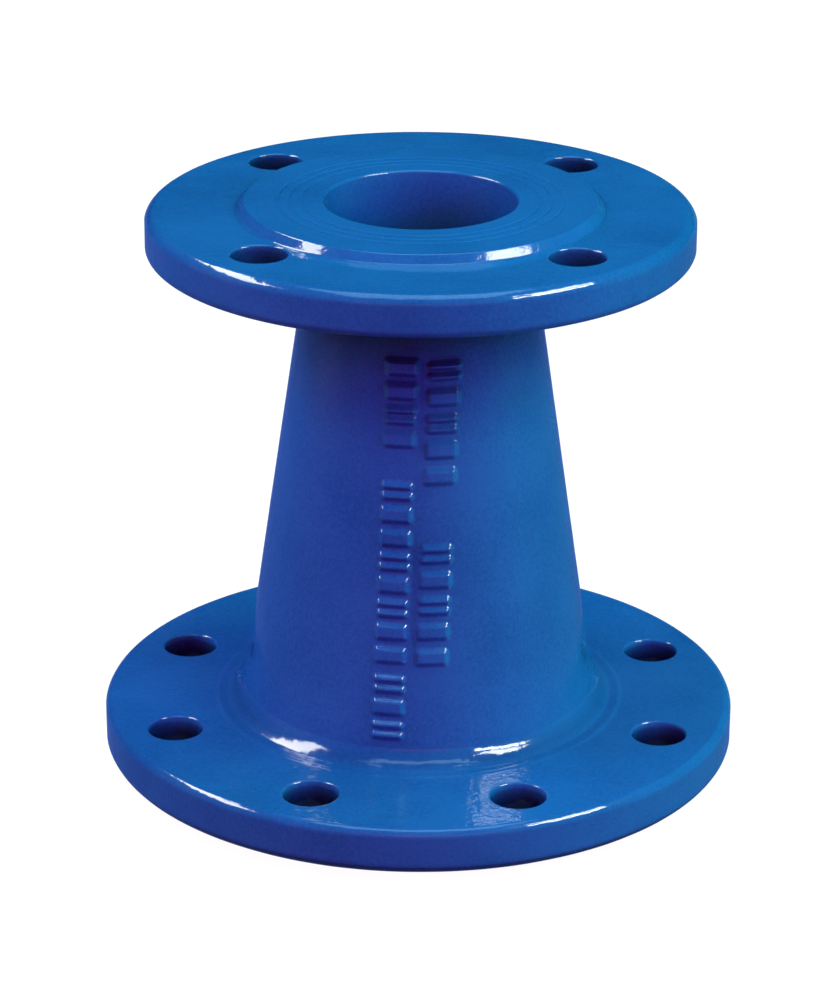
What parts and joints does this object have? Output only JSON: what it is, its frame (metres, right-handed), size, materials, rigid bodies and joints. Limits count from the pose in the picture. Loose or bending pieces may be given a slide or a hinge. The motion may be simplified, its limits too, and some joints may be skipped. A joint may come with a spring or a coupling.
{
  "type": "concentric flanged reducer",
  "caption": "Double-flanged concentric taper: a short conical pipe between a large and a small round bolted flange, each with a raised sealing face, under a glossy coat.",
  "frame": {"origin": "centre of the large end's sealing face, on the waterway's axis", "axes": "+Z along the waterway from the large end to the small end; -Y points to the side with the casting marks"},
  "size_m": [0.22, 0.22, 0.2],
  "materials": {
    "coated_body": "glossy fusion-bonded epoxy over ductile iron",
    "coated_flange": "glossy fusion-bonded epoxy over ductile iron",
    "coated_face": "glossy fusion-bonded epoxy over a grooved gasket face",
    "coated_marks": "glossy fusion-bonded epoxy over raised casting marks"
  },
  "bodies": {
    "root": {"taper_body": "coated_body", "large_flange": "coated_flange", "small_flange": "coated_flange", "large_raised_face": "coated_face", "small_raised_face": "coated_face", "cast_marks_long_row": "coated_marks", "cast_marks_short_row": "coated_marks"}
  },
  "joints": []
}
